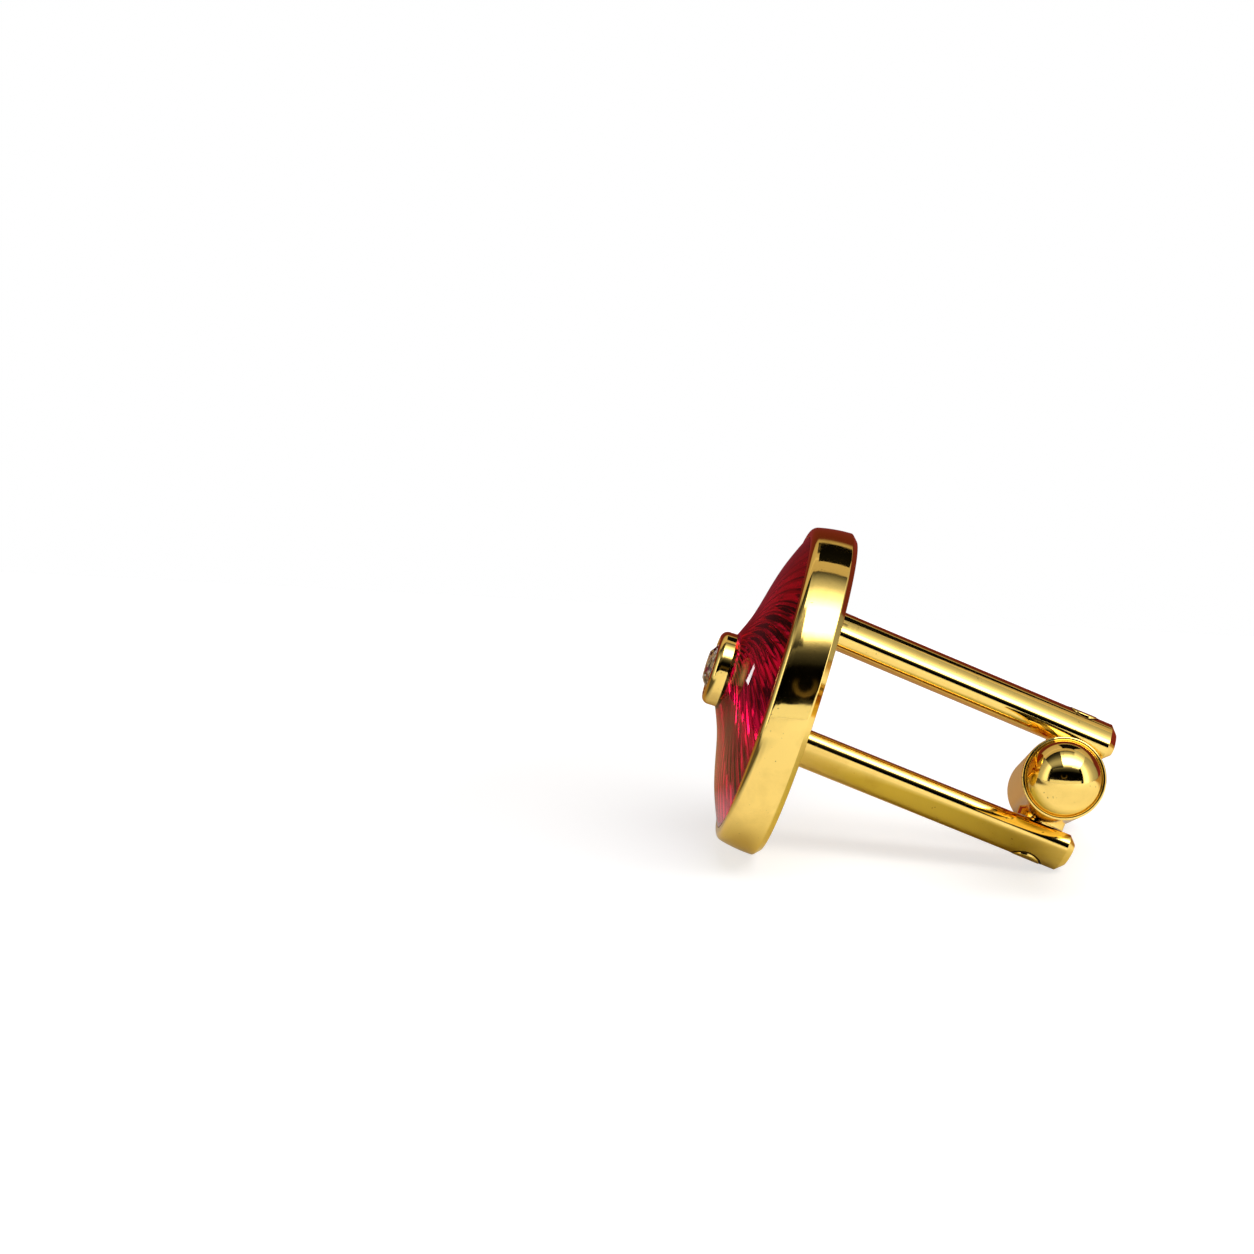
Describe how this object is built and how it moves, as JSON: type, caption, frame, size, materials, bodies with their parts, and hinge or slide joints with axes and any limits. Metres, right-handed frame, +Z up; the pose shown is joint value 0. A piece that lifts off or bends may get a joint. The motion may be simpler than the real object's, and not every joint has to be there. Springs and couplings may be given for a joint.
{
  "type": "cufflink",
  "caption": "Round cufflink with a red enamelled swirl dial and a set stone in a gold rim, on two posts that carry a swivelling ball-ended toggle for the buttonhole.",
  "frame": {"origin": "middle of the bottom of the part's box, on the table that it lies on", "axes": "+Z up from the table, +X from the dial towards the toggle, +Y along the table to the toggle's left end"},
  "size_m": [0.0212, 0.0186, 0.0168],
  "materials": {
    "yellow_gold": "polished",
    "engraved_gold": "engine-turned",
    "red_enamel": "fired, glossy",
    "clear_stone": "polished",
    "spring_steel": "drawn wire"
  },
  "bodies": {
    "head": {"rim": "yellow_gold", "back_plate": "yellow_gold", "dial_plate": "engraved_gold", "enamel": "red_enamel", "stone_collet": "yellow_gold", "stone": "clear_stone", "collet_washer": "yellow_gold", "collet_nut": "yellow_gold", "upper_post": "yellow_gold", "lower_post": "yellow_gold", "pivot_pin": "yellow_gold", "detent_cam": "yellow_gold"},
    "toggle": {"toggle_barrel": "yellow_gold", "pivot_bush_upper": "yellow_gold", "pivot_bush_lower": "yellow_gold", "end_ball_left": "yellow_gold", "end_ball_right": "yellow_gold", "detent_spring_left": "spring_steel", "detent_spring_right": "spring_steel"},
    "plunger_left": {"detent_plunger_left": "yellow_gold"},
    "plunger_right": {"detent_plunger_right": "yellow_gold"}
  },
  "joints": [
    {"name": "toggle_swivel", "type": "hinge", "parent": "head", "child": "toggle", "pos_m": [0.00759, 0, 0.00424], "axis": [0.3293, 0.2479, 0.9111], "continuous": true},
    {"name": "plunger_left_slide", "type": "slide", "parent": "toggle", "child": "plunger_left", "axis": [-0.0669, -0.9564, 0.2844], "range_m": [0, 0.0002], "stiffness_N_per_m": 500, "springref_m": 0.0002},
    {"name": "plunger_right_slide", "type": "slide", "parent": "toggle", "child": "plunger_right", "axis": [0.0669, 0.9564, -0.2844], "range_m": [0, 0.0002], "stiffness_N_per_m": 500, "springref_m": 0.0002}
  ]
}
